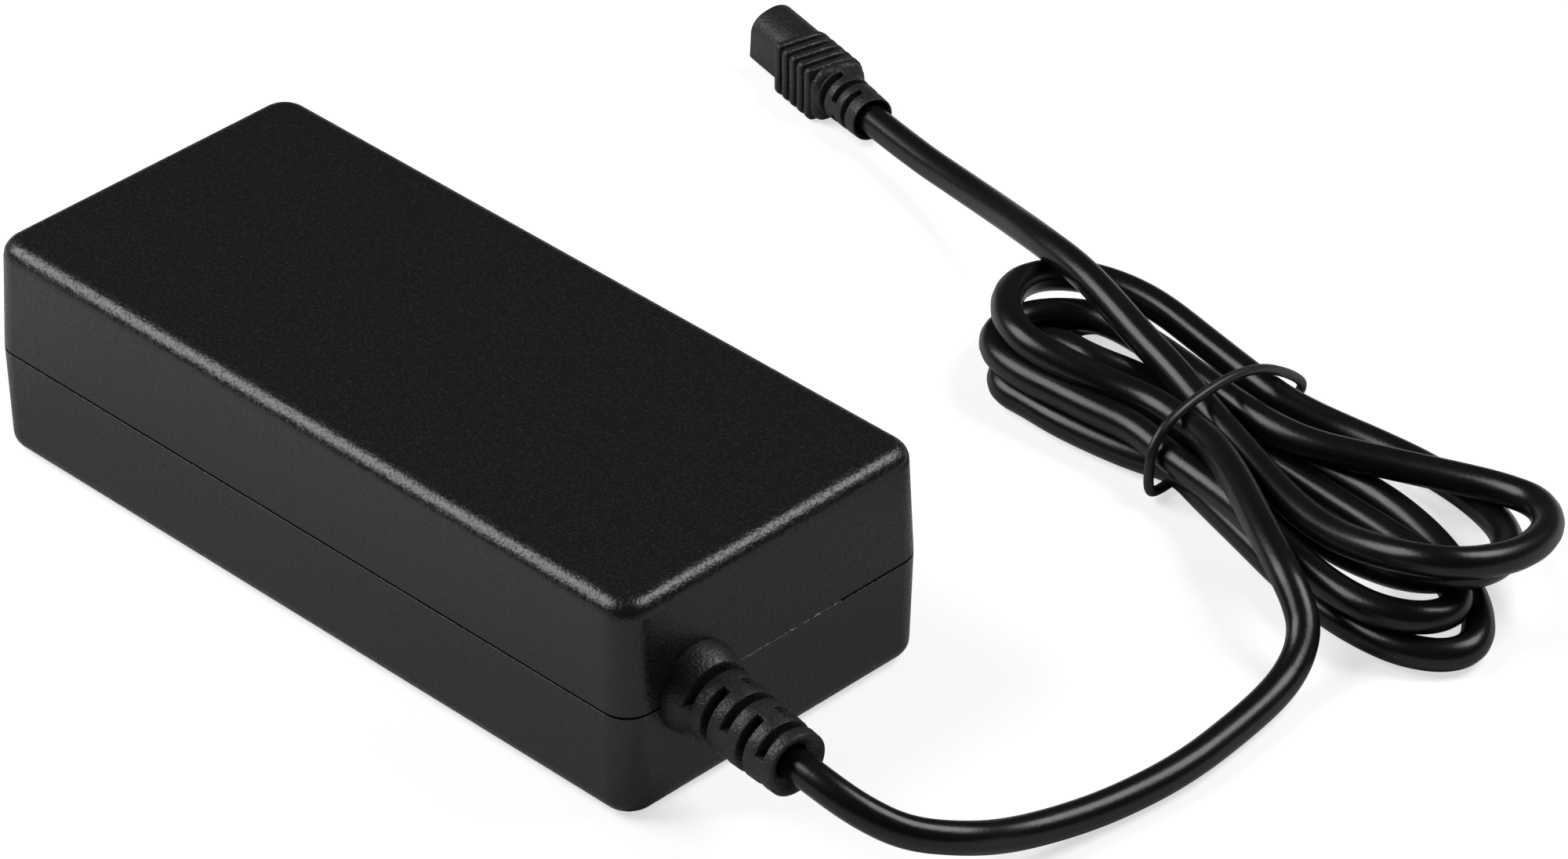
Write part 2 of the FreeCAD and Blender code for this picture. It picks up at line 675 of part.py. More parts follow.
def transformer_core(place):
    x, y = place
    corner = Vector(x - CORE_LENGTH / 2, y - CORE_DEPTH / 2, component_bottom)
    core = Part.makeBox(CORE_LENGTH, CORE_DEPTH, CORE_HEIGHT, corner)
    for left in (CORE_LEG, (CORE_LENGTH + CORE_CENTRE_LEG) / 2):
        window = Part.makeBox(core_window_width(), CORE_DEPTH, CORE_HEIGHT - 2 * CORE_YOKE,
                              corner + Vector(left, 0, CORE_YOKE))
        core = core.cut(window)
    return core


def transformer_winding(place):
    """taped winding round the core's middle leg"""
    height = CORE_HEIGHT - 2 * (CORE_YOKE + FIT)
    bottom = component_bottom + CORE_YOKE + FIT
    inner_length = CORE_CENTRE_LEG + 2 * FIT
    inner_width = CORE_DEPTH + 2 * FIT
    depth = core_window_width() - FIT - WINDING_GAP
    outer = rounded_block(inner_length + 2 * depth, inner_width + 2 * depth, height, WINDING_CORNER_RADIUS,
                          *place, bottom)
    return outer.cut(rounded_block(inner_length, inner_width, height, FIT / 2, *place, bottom))


def heatsink(place):
    """upright plate across the board with a foot bent over under its package"""
    x, y = place
    height = CASE_HEIGHT - ROOF - HEATSINK_ROOF_GAP - component_bottom
    back = (HEATSINK_THICKNESS + FIT + PACKAGE_SIZE[0]) / 2
    corners = [(back, 0), (back, height), (back - HEATSINK_THICKNESS, height),
               (back - HEATSINK_THICKNESS, HEATSINK_THICKNESS), (back - HEATSINK_FOOT, HEATSINK_THICKNESS),
               (back - HEATSINK_FOOT, 0)]
    points = [Vector(x + along, y - HEATSINK_WIDTH / 2, component_bottom + up) for along, up in corners]
    return prism(Part.makePolygon(points + points[:1]), Y_AXIS * HEATSINK_WIDTH)


def power_package(place):
    """power semiconductor bolted flat to its heatsink"""
    x, y = place
    depth, width, height = PACKAGE_SIZE
    front = x - (HEATSINK_THICKNESS + FIT + depth) / 2
    z = component_bottom + HEATSINK_THICKNESS + PACKAGE_RISE
    return Part.makeBox(depth, width, height, Vector(front, y - width / 2, z))


def output_choke(place):
    """drum core with its winding"""
    drum = revolved([(0, 0), (0, DRUM_RADIUS), (DRUM_RIM, DRUM_RADIUS), (DRUM_RIM, DRUM_WAIST_RADIUS),
                     (DRUM_HEIGHT - DRUM_RIM, DRUM_WAIST_RADIUS), (DRUM_HEIGHT - DRUM_RIM, DRUM_RADIUS),
                     (DRUM_HEIGHT, DRUM_RADIUS), (DRUM_HEIGHT, 0)])
    return stood_up(drum, place)


def inlet_lead(y):
    """wire from a pin's tail down to the board"""
    start = -case_end + inlet_depth + PIN_TAIL + FIT
    bend = start + LEAD_WIRE_RUN
    return tube(vectors([(start, y, line_pin_z), (bend, y, line_pin_z), (bend, y, component_bottom)]),
                LEAD_WIRE_RADIUS)


def output_lead(offset):
    """wire from the board's end up to the strain relief's inner face"""
    y = relief_y + offset
    end = relief_flange_x - FIT
    foot = board_end - LEAD_WIRE_INSET
    return tube(vectors([(foot, y, component_bottom), (foot, y, PARTING_Z - LEAD_WIRE_RUN),
                         (end - LEAD_WIRE_RUN, y, PARTING_Z), (end, y, PARTING_Z)]), LEAD_WIRE_RADIUS)


def cord_from_brick():
    funnel_bottom = RELIEF_TAIL_LENGTH - FUNNEL_DEPTH
    place = relief_placement()
    leaving = [place.multVec(X_AXIS * along) for along in (funnel_bottom, funnel_bottom + EXIT_RUN)]
    return tube(leaving + vectors(LEAD_POINTS), cord_radius, "cord_from_brick")


def cord_to_plug():
    return tube(vectors(TAIL_POINTS), cord_radius, "cord_to_plug")


def hank_section(x, near, far, crest, bottom, top):
    points = [Vector(x, near, bottom), Vector(x, far, bottom), Vector(x, crest, top), Vector(x, near, top)]
    radius = HANK_CORNER_SHARE * (top - bottom)
    return rounded_outline(points, [radius, radius / 2, radius, radius])


def cord_hank():
    """the folded cord's outer shape, with a stub of cord where the lead joins and leaves it"""
    body = Part.makeLoft([hank_section(*row) for row in HANK_SECTIONS], True, True)
    entry = tube(vectors(HANK_ENTRY_POINTS), cord_radius)
    leaving = tube(vectors(HANK_EXIT_POINTS), cord_radius)
    return body.fuse([entry, leaving])


def cord_tie():
    points = [Vector(0, across, up) for across, up, radius in TIE_CORNERS]
    path = rounded_outline(points, [radius for across, up, radius in TIE_CORNERS])
    start = path.Edges[0].Vertexes[0].Point
    tangent = path.Edges[0].tangentAt(path.Edges[0].FirstParameter)
    ring = path.makePipeShell([Part.Wire(Part.makeCircle(TIE_WIRE_RADIUS, start, tangent))], True, False)
    ring.Placement = FreeCAD.Placement(Vector(*TIE_PLACE, 0), FreeCAD.Rotation(Z_AXIS, TIE_YAW))
    return ring


def plug_placement():
    """the plug lies with its tail's tip round the cord's end"""
    heading = FreeCAD.Rotation(Z_AXIS, PLUG_HEADING)
    end = Vector(*TAIL_POINTS[-1])
    back = heading.multVec(Vector(plug_length - FUNNEL_DEPTH, PLUG_AXIS_Y, PLUG_AXIS_Z))
    return FreeCAD.Placement(end - back, heading)


def placed_on_plug(shape):
    shape.Placement = plug_placement().multiply(shape.Placement)
    return shape


def nose_middle_z():
    return (NOSE_BOTTOM + NOSE_TOP) / 2


def plug_nose():
    """the sides lean inwards and the near one meets the top over a broad rounded shoulder"""
    near = NOSE_OFFSET - NOSE_WIDTH / 2
    far = NOSE_OFFSET + NOSE_WIDTH / 2
    shoulder_width, shoulder_drop = NOSE_SHOULDER
    corners = [(near, NOSE_BOTTOM), (far, NOSE_BOTTOM), (far - NOSE_LEAN, NOSE_TOP),
               (near + NOSE_LEAN + shoulder_width, NOSE_TOP), (near + NOSE_LEAN, NOSE_TOP - shoulder_drop)]
    outline = rounded_outline([Vector(0, y, z) for y, z in corners], NOSE_RADII)
    return prism(outline, X_AXIS * (NOSE_LENGTH + RIB_WIDTH))


def plug_grip():
    inner_radii = [max(radius - GROOVE_DEPTH, GROOVE_DEPTH) for radius in GRIP_RADII]
    outline = end_outline(GRIP_WIDTH - 2 * GROOVE_DEPTH, GRIP_HEIGHT - 2 * GROOVE_DEPTH, inner_radii,
                          NOSE_LENGTH, 0.0, GRIP_HEIGHT / 2)
    grip = prism(outline, X_AXIS * grip_length)
    for index in range(RIB_COUNT):
        rib = end_outline(GRIP_WIDTH, GRIP_HEIGHT, GRIP_RADII, NOSE_LENGTH + index * RIB_PITCH, 0.0,
                          GRIP_HEIGHT / 2)
        grip = grip.fuse(prism(rib, X_AXIS * RIB_WIDTH))
    return grip


def plug_tail():
    overlap = RIB_WIDTH / 2
    shoulders = [(0, PLUG_ROOT_RADIUS), (PLUG_SLOT_START, PLUG_TAIL_RADIUS)]
    tail = revolved(tail_profile(shoulders, PLUG_TAIL_LENGTH, PLUG_TIP_RADIUS, PLUG_TIP_EDGE))
    tail = slotted(tail, PLUG_SLOT_COUNT, PLUG_SLOT_START, PLUG_SLOT_PITCH, PLUG_SLOT_WIDTH,
                   PLUG_CORE_RADIUS, PLUG_BRIDGE, 1)
    tail = tail.cut(funnel(PLUG_TAIL_LENGTH, PLUG_FLARE))
    root = Part.makeCylinder(PLUG_CORE_RADIUS, overlap, Vector(-overlap, 0, 0), X_AXIS)
    tail = tail.fuse(root)
    tail.translate(Vector(NOSE_LENGTH + grip_length, PLUG_AXIS_Y, PLUG_AXIS_Z))
    return tail


def insert_block(extra):
    """the contact carrier's outline, or its pocket with some extra all round"""
    outline = end_outline(INSERT_WIDTH + 2 * extra, INSERT_HEIGHT + 2 * extra, [INSERT_RADIUS] * 4, 0.0,
                          NOSE_OFFSET, nose_middle_z())
    return prism(outline, X_AXIS * (INSERT_LENGTH + extra))


def plug_overmould():
    body = plug_grip().fuse([plug_nose(), plug_tail()]).cut(insert_block(FIT))
    return placed_on_plug(body)


def contact_places():
    return [NOSE_OFFSET - CONTACT_SPACING / 2, NOSE_OFFSET + CONTACT_SPACING / 2]


def plug_insert():
    block = insert_block(0.0)
    for y in contact_places():
        mouth = Vector(0, y, nose_middle_z())
        block = block.cut(Part.makeCylinder(CONTACT_RADIUS + FIT / 2, CONTACT_DEPTH, mouth, X_AXIS))
    return placed_on_plug(block)


def plug_contact(y):
    sleeve = Part.makeCylinder(CONTACT_RADIUS, CONTACT_DEPTH - FIT, Vector(FIT, y, nose_middle_z()), X_AXIS)
    bore = Part.makeCylinder(CONTACT_BORE, CONTACT_BORE_DEPTH, Vector(0, y, nose_middle_z()), X_AXIS)
    return placed_on_plug(sleeve.cut(bore))


def housing_parts():
    parts = {
        "upper_shell": upper_shell(),
        "lower_shell": lower_shell(),
        "output_strain_relief": output_strain_relief(),
        "inlet_body": inlet_body(),
    }
    for name, place in pin_places().items():
        parts[name] = inlet_pin(*place)
    return parts


def board_parts():
    places = board_places()
    return {
        "circuit_board": circuit_board(),
        "fuse": stood_up(can(FUSE_RADIUS, FUSE_HEIGHT), places["fuse"]),
        "thermistor": disc(places["thermistor"]),
        "x_capacitor": block_on_board(FILM_BOX_SIZE, FILM_BOX_CORNER_RADIUS, places["x_capacitor"]),
        "choke_core": choke_core(places["choke"]),
        "choke_winding_a": choke_winding(places["choke"], CHOKE_WINDING_START),
        "choke_winding_b": choke_winding(places["choke"], CHOKE_WINDING_START + 180),
        "bridge_rectifier": block_on_board(BRIDGE_SIZE, BRIDGE_CORNER_RADIUS, places["bridge_rectifier"]),
        "bulk_capacitor": bulk_capacitor(places["bulk_capacitor"]),
        "controller_chip": chip_under_board(CHIP_SIZE, places["primary_heatsink"]),
        "primary_heatsink": heatsink(places["primary_heatsink"]),
        "switching_transistor": power_package(places["primary_heatsink"]),
        "transformer_core": transformer_core(places["transformer"]),
        "transformer_winding": transformer_winding(places["transformer"]),
        "y_capacitor": disc(places["y_capacitor"]),
        "optocoupler": chip_under_board(OPTOCOUPLER_SIZE, places["y_capacitor"]),
        "secondary_heatsink": heatsink(places["secondary_heatsink"]),
        "output_rectifier": power_package(places["secondary_heatsink"]),
        "output_capacitor_a": output_capacitor(places["output_capacitor_a"]),
        "output_capacitor_b": output_capacitor(places["output_capacitor_b"]),
        "output_choke": output_choke(places["output_choke"]),
    }


def wiring_parts():
    return {
        "inlet_lead_line": inlet_lead(PIN_SPACING / 2),
        "inlet_lead_neutral": inlet_lead(-PIN_SPACING / 2),
        "output_lead_positive": output_lead(OUTPUT_WIRE_SPACING / 2),
        "output_lead_negative": output_lead(-OUTPUT_WIRE_SPACING / 2),
    }


def cord_parts():
    contacts = contact_places()
    return {
        "cord_from_brick": cord_from_brick(),
        "cord_hank": cord_hank(),
        "cord_to_plug": cord_to_plug(),
        "cord_tie": cord_tie(),
        "plug_overmould": plug_overmould(),
        "plug_insert": plug_insert(),
        "plug_contact_a": plug_contact(contacts[0]),
        "plug_contact_b": plug_contact(contacts[1]),
    }


def main():
    os.makedirs("parts", exist_ok=True)
    for group in (housing_parts(), board_parts(), wiring_parts(), cord_parts()):
        for name, shape in group.items():
            solids = shape.Solids
            if len(solids) != 1 or not shape.isValid():
                print(f"{name}: {len(solids)} solids, valid {shape.isValid()}")
            solids[0].exportStep(f"parts/{name}.step")


main()
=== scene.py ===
# %% [markdown]
# # A power adapter, dressed
# The object is a laptop-type power adapter: a black two-shell housing, a low-voltage lead that
# leaves one end through a slotted strain relief, and a small ribbed plug. The lead is folded
# into a hank and held by a ring of wire. The housing, the mains inlet, the plug's contacts and the
# parts inside come from the model. This file lays the cord and its tie, draws the strain relief
# and the plug with the soft rims of mouldings, gives every piece its finish, and sets up the
# floor, the light and the camera.

# %% Load the model
import bmesh
import bpy
import math
from mathutils import Matrix, Vector


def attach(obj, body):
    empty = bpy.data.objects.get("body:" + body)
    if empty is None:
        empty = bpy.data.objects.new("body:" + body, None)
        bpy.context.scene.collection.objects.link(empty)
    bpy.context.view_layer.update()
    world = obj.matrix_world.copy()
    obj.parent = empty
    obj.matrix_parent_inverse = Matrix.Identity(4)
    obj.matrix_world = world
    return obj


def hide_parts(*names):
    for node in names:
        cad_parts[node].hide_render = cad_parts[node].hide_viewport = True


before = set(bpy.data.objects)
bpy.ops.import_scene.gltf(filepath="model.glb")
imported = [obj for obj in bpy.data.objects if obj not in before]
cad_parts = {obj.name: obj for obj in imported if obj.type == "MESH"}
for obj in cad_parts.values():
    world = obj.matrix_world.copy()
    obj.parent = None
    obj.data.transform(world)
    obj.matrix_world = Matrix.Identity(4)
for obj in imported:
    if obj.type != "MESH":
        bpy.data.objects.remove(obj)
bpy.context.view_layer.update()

# %% [markdown]
# The camera is made first, because everything else is judged through it. It could be placed by
# eye, but the housing's straight edges fix where it stood: to the front right, looking down by
# about 35 degrees through a long lens. Azimuth 0 looks straight along +Y.

# %% Camera
CAMERA_PLACE = (0.65566, -0.59345, 0.62819)
CAMERA_AZIMUTH = 44.8235
CAMERA_ELEVATION = 34.5739
CAMERA_LENS = 176.148
SENSOR_WIDTH = 36.0


def make_camera():
    data = bpy.data.cameras.new("camera")
    data.lens = CAMERA_LENS
    data.sensor_width = SENSOR_WIDTH
    data.sensor_fit = "HORIZONTAL"
    data.clip_end = 20.0
    camera = bpy.data.objects.new("camera", data)
    camera.location = CAMERA_PLACE
    camera.rotation_euler = (math.radians(90 - CAMERA_ELEVATION), 0, math.radians(CAMERA_AZIMUTH))
    bpy.context.scene.collection.objects.link(camera)
    bpy.context.scene.camera = camera
    return camera


camera = make_camera()
print("camera lens", camera.data.lens)

# %% [markdown]
# The cord is one long piece of soft round cable. A simulation could drop it, but would not lay it
# as the photograph shows it, so a chain of listed points says where it runs, and a smooth NURBS
# curve with them as its control points never shows a kink. The lead leaves the strain relief,
# droops to the floor and runs to the hank. All lengths are in metres.

# %% Lead and tail
CORD_DIAMETER = 0.00475

LEAD = [
    (0.0830, -0.0173, 0.0160), (0.0900, -0.0179, 0.0156), (0.0964, -0.0164, 0.0132),
    (0.1013, -0.0126, 0.0101), (0.1053, -0.0061, 0.0079), (0.1064, 0.0018, 0.0047),
    (0.1081, 0.0111, 0.0030), (0.1097, 0.0201, 0.0024), (0.1108, 0.0314, 0.0024),
    (0.1097, 0.0437, 0.0024), (0.1082, 0.0534, 0.0026),
]
TAIL = [
    (0.0165, 0.1026, 0.0117), (0.0051, 0.1073, 0.0086), (-0.0075, 0.1113, 0.0062),
    (-0.0205, 0.1144, 0.0047), (-0.0331, 0.1172, 0.0046),
]
print("lead", len(LEAD), "points, tail", len(TAIL))

# %% [markdown]
# In the hank the cord makes four turns through the tie. Each one runs from the tie to the left
# end, folds, comes back along the far side to the right end, folds again and returns along the
# near side. A neat coil would be a formula, but here every turn has its own width and height,
# and lies beside or on the others, so each is a list of its own.

# %% Hank
WAY_IN = [
    # up over the right end and along the near side
    (0.1068, 0.0589, 0.0042), (0.1047, 0.0626, 0.0064), (0.1017, 0.0645, 0.0086),
    (0.0978, 0.0662, 0.0104), (0.0878, 0.0718, 0.0112), (0.0774, 0.0784, 0.0108),
    (0.0684, 0.0833, 0.0098),
    # through the tie
    (0.0621, 0.0851, 0.0089),
]
TALL_TURN = [
    # to the left end
    (0.0546, 0.0861, 0.0088), (0.0482, 0.0847, 0.0092), (0.0423, 0.0828, 0.0104),
    (0.0363, 0.0816, 0.0114), (0.0309, 0.0823, 0.0118),
    # left fold
    (0.0255, 0.0859, 0.0115), (0.0210, 0.0926, 0.0102), (0.0197, 0.1000, 0.0079),
    # back along the far side
    (0.0221, 0.1054, 0.0064), (0.0280, 0.1080, 0.0060), (0.0355, 0.1087, 0.0056),
    (0.0463, 0.1070, 0.0050),
    # through the tie
    (0.0606, 0.1045, 0.0046),
    # on to the right end
    (0.0668, 0.1054, 0.0034), (0.0729, 0.1070, 0.0025), (0.0797, 0.1079, 0.0024),
    (0.0882, 0.1084, 0.0024), (0.0973, 0.1071, 0.0026),
    # right fold
    (0.1063, 0.1030, 0.0042), (0.1127, 0.0966, 0.0066), (0.1158, 0.0892, 0.0090),
    # back along the near side
    (0.1145, 0.0833, 0.0099), (0.1091, 0.0797, 0.0087), (0.1004, 0.0798, 0.0069),
    (0.0919, 0.0813, 0.0054), (0.0828, 0.0841, 0.0042), (0.0718, 0.0874, 0.0036),
    # through the tie
    (0.0619, 0.0883, 0.0036),
]
FLOOR_TURN = [
    # to the left end
    (0.0509, 0.0876, 0.0029), (0.0435, 0.0878, 0.0024), (0.0374, 0.0898, 0.0024),
    (0.0316, 0.0926, 0.0024),
    # left fold
    (0.0280, 0.0950, 0.0024), (0.0259, 0.0985, 0.0024), (0.0265, 0.1024, 0.0024),
    # back along the far side
    (0.0300, 0.1047, 0.0024), (0.0346, 0.1046, 0.0024), (0.0405, 0.1033, 0.0024),
    (0.0465, 0.1019, 0.0024),
    # through the tie
    (0.0613, 0.0981, 0.0025),
    # on to the right end
    (0.0703, 0.0974, 0.0024), (0.0771, 0.0982, 0.0024), (0.0843, 0.0984, 0.0024),
    (0.0925, 0.0975, 0.0024), (0.1013, 0.0950, 0.0024), (0.1094, 0.0911, 0.0024),
    # right fold
    (0.1168, 0.0858, 0.0024), (0.1205, 0.0804, 0.0024), (0.1193, 0.0758, 0.0024),
    # back along the near side
    (0.1141, 0.0727, 0.0024), (0.1076, 0.0719, 0.0024), (0.1000, 0.0723, 0.0024),
    (0.0908, 0.0744, 0.0024), (0.0806, 0.0776, 0.0024), (0.0705, 0.0806, 0.0024),
    # through the tie
    (0.0622, 0.0834, 0.0024),
]
INNER_TURN = [
    # to the left end
    (0.0560, 0.0815, 0.0024), (0.0492, 0.0806, 0.0024), (0.0419, 0.0801, 0.0024),
    (0.0357, 0.0805, 0.0024),
    # left fold
    (0.0308, 0.0804, 0.0024), (0.0281, 0.0830, 0.0030), (0.0281, 0.0867, 0.0046),
    (0.0310, 0.0893, 0.0066), (0.0354, 0.0891, 0.0076),
    # back across the middle
    (0.0404, 0.0886, 0.0080), (0.0468, 0.0923, 0.0060), (0.0538, 0.0956, 0.0032),
    # through the tie
    (0.0616, 0.0931, 0.0025),
    # on to the right end
    (0.0722, 0.0936, 0.0024), (0.0802, 0.0930, 0.0024), (0.0881, 0.0924, 0.0024),
    (0.0963, 0.0914, 0.0028), (0.1047, 0.0892, 0.0042),
    # right fold
    (0.1125, 0.0857, 0.0054), (0.1162, 0.0808, 0.0060), (0.1152, 0.0752, 0.0070),
    # back along the near side
    (0.1099, 0.0722, 0.0071), (0.1032, 0.0717, 0.0071), (0.0946, 0.0733, 0.0069),
    (0.0845, 0.0764, 0.0066), (0.0751, 0.0786, 0.0066),
    # through the tie
    (0.0624, 0.0804, 0.0065),
]
TOP_TURN = [
    # to the left end
    (0.0556, 0.0816, 0.0070), (0.0488, 0.0809, 0.0070), (0.0414, 0.0806, 0.0070),
    (0.0339, 0.0802, 0.0070),
    # left fold
    (0.0277, 0.0816, 0.0069), (0.0241, 0.0857, 0.0068), (0.0244, 0.0912, 0.0068),
    # back along the far side
    (0.0280, 0.0957, 0.0071), (0.0335, 0.0991, 0.0071), (0.0439, 0.0986, 0.0072),
    # through the tie
    (0.0614, 0.0957, 0.0072),
    # on to the right end
    (0.0707, 0.0950, 0.0072), (0.0772, 0.0961, 0.0071), (0.0837, 0.0988, 0.0071),
    (0.0903, 0.1013, 0.0073), (0.0970, 0.1038, 0.0076), (0.1035, 0.1055, 0.0082),
    # right fold
    (0.1102, 0.1058, 0.0090), (0.1163, 0.1011, 0.0102), (0.1193, 0.0924, 0.0118),
    # back along the near side
    (0.1182, 0.0836, 0.0137), (0.1141, 0.0784, 0.0144), (0.1054, 0.0770, 0.0126),
    (0.0957, 0.0783, 0.0100), (0.0860, 0.0811, 0.0086), (0.0745, 0.0858, 0.0079),
    # through the tie
    (0.0618, 0.0902, 0.0084),
]
WAY_OUT = [
    # over the left end, towards the plug
    (0.0522, 0.0931, 0.0098), (0.0448, 0.0946, 0.0110), (0.0360, 0.0970, 0.0124),
    (0.0274, 0.0995, 0.0130),
]

HANK = WAY_IN + TALL_TURN + FLOOR_TURN + INNER_TURN + TOP_TURN + WAY_OUT
CORD_POINTS = LEAD + HANK + TAIL
print("hank", len(HANK), "points, whole cord", len(CORD_POINTS))

# %% [markdown]
# A mesh tube could follow the points, but a curve object with a round bevel is the simplest
# cable: its thickness is one number. The order of 3 and the end points are set after the points
# are in, so that the curve is smooth and reaches both ends.

# %% Cord
def make_cord(name, points, diameter):
    data = bpy.data.curves.new(name, "CURVE")
    data.dimensions = "3D"
    data.resolution_u = 8
    data.bevel_depth = 1.0
    data.bevel_resolution = 6
    data.use_fill_caps = True
    spline = data.splines.new("NURBS")
    spline.points.add(len(points) - 1)
    for point, place in zip(spline.points, points):
        point.co = (*place, 1)
        point.radius = diameter / 2
    spline.order_u = 3
    spline.use_endpoint_u = True
    cord = bpy.data.objects.new(name, data)
    bpy.context.scene.collection.objects.link(cord)
    return cord


cord = make_cord("cord", CORD_POINTS, CORD_DIAMETER)
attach(cord, "root")
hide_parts("cord_from_brick", "cord_hank", "cord_to_plug")
print("cord drawn")

# %% [markdown]
# The ring round the hank is a sleeved wire, bent shut. It could be a bent torus, but it is drawn
# in the same way as the cord, as a closed curve: its points go round the bundle and along the
# floor, and the smoothing makes a soft loop of them. The points are in millimetres, across the
# hank and up.

# %% Tie
TIE_WIRE = 0.0015
TIE_POINTS = [
    (-1.2, 0.75), (-2.8, 2.0), (-2.8, 6.0), (-2.2, 8.8), (0.2, 11.2), (4.2, 12.2), (9.0, 12.5),
    (14.5, 12.3), (19.5, 11.2), (24.0, 9.3), (28.2, 6.5), (31.5, 3.8), (32.9, 2.0), (31.8, 0.75),
    (24.0, 0.75), (15.0, 0.75), (6.0, 0.75),
]
TIE_PLACE = (0.06245, 0.0795, 0)
TIE_HEADING = 3.6
MILLIMETRE = Matrix.Scale(0.001, 4)


def laid(place, heading):
    """Where a piece lies: turned on the floor by a heading in degrees, then moved to its place."""
    return Matrix.Translation(place) @ Matrix.Rotation(math.radians(heading), 4, "Z")


def make_tie():
    where = laid(TIE_PLACE, TIE_HEADING) @ MILLIMETRE
    ring = make_cord("tie", [where @ Vector((0, *point)) for point in TIE_POINTS], TIE_WIRE)
    spline = ring.data.splines[0]
    spline.use_endpoint_u = False
    spline.use_cyclic_u = True
    return ring


tie = make_tie()
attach(tie, "root")
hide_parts("cord_tie")
print("tie points", len(TIE_POINTS))

# %% [markdown]
# A strain relief's tail is a rubbery body of revolution with ring slots, which let it bend. The
# slots could be cut with booleans, but sinking faces keeps the mesh clean: a half section is
# spun about X, and the faces between a slot's two bridges are pushed down to the core, walls and
# all. Then every rim is rounded a little, which catches the light. Each slot's bridges stand a
# quarter turn from the next one's. From here on, shapes are drawn in millimetres.

# %% Slotted tails
RIM_ANGLE = 0.9
SLOT_RIM = 0.16
CORE_MARGIN = 0.4


def new_verts(grown):
    """The vertices among what an extrusion returns."""
    return [item for item in grown if isinstance(item, bmesh.types.BMVert)]


def round_edges(shape, edges, width):
    bmesh.ops.bevel(shape, geom=edges, offset=width, offset_type="OFFSET", segments=3,
                    profile=0.5, affect="EDGES", clamp_overlap=True, material=-1)


def revolve(shape, section, steps=72):
    """Spins a closed half section, in (distance along X, radius), about X."""
    corners = [shape.verts.new((along, 0, radius)) for along, radius in section]
    edges = [shape.edges.new(pair) for pair in zip(corners, corners[1:] + corners[:1])]
    bmesh.ops.spin(shape, geom=corners + edges, cent=(0, 0, 0), axis=(1, 0, 0),
                   angle=math.tau, steps=steps, use_merge=True)


def in_slot(face, start, width, core, bridge):
    """Whether a face lies over a slot. A bridge is its middle angle from -Y, and its half width."""
    middle = face.calc_center_median()
    if not start < middle.x < start + width or math.hypot(middle.y, middle.z) < core:
        return False
    angle = math.degrees(math.atan2(middle.z, -middle.y))
    bridge_angle, bridge_half = bridge
    # a slot has two bridges, opposite each other, so the angle repeats after half a turn
    return abs((angle - bridge_angle + 90) % 180 - 90) > bridge_half


def sink_slots(shape, starts, width, core, bridges):
    """Pushes the faces over each slot down to the core, walls and all."""
    chosen = [face for index, start in enumerate(starts) for face in shape.faces
              if in_slot(face, start, width, core, bridges[index % 2])]
    grown = bmesh.ops.extrude_face_region(shape, geom=chosen)["geom"]
    bmesh.ops.delete(shape, geom=chosen, context="FACES")
    for vert in new_verts(grown):
        share = core / math.hypot(vert.co.y, vert.co.z)
        vert.co = (vert.co.x, vert.co.y * share, vert.co.z * share)
    print("slots", len(starts), "faces sunk", len(chosen))


def slotted_tail(shape, root, tip, starts, width, core, bridges):
    """root and tip are (distance along X, radius) points; the tail narrows evenly between."""
    (near, near_radius), (far, far_radius) = root[-1], tip[0]
    slope = (far_radius - near_radius) / (far - near)
    places = [along for start in starts for along in (start, start + width) if along > near]
    between = [(along, near_radius + (along - near) * slope) for along in places]
    revolve(shape, root + between + tip)
    sink_slots(shape, starts, width, core, bridges)
    rims = [edge for edge in shape.edges if len(edge.link_faces) == 2
            and edge.calc_face_angle() > RIM_ANGLE
            and min(math.hypot(vert.co.y, vert.co.z) for vert in edge.verts) > core + CORE_MARGIN]
    round_edges(shape, rims, SLOT_RIM)


# %% [markdown]
# Every drawn shape becomes a piece in the same way. Its object could be moved and scaled, but
# here the mesh itself is scaled to metres and put in its place, so that the object stays at the
# origin as the model's own objects do. Soft edges are shaded smooth, and sharp ones stay crisp.

# %% Pieces from shapes
CRISP_ANGLE = 0.7


def place_piece(shape, name, place, slot, *replaced):
    """Turns a shape in millimetres into a piece of the object, in its place."""
    bmesh.ops.transform(shape, matrix=place @ MILLIMETRE, verts=shape.verts)
    bmesh.ops.recalc_face_normals(shape, faces=shape.faces)
    for face in shape.faces:
        face.smooth = True
    for edge in shape.edges:
        edge.smooth = len(edge.link_faces) == 2 and edge.calc_face_angle() < CRISP_ANGLE
    mesh = bpy.data.meshes.new(name)
    shape.to_mesh(mesh)
    shape.free()
    piece = bpy.data.objects.new(name, mesh)
    bpy.context.scene.collection.objects.link(piece)
    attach(piece, "root")
    if replaced:
        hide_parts(*replaced)
    print(name, "faces", len(mesh.polygons))
    return piece


# %% [markdown]
# The relief grips the cord where it leaves the wall. A flange inside the wall and a neck through
# it hold it, a round collar covers the opening, and the slotted tail follows. It could stand
# straight out, but the real one leans: its tail droops by 3.5 degrees and turns aside by 5.2
# degrees, about the point where its axis meets the wall. Lengths along it start 3 mm outside.

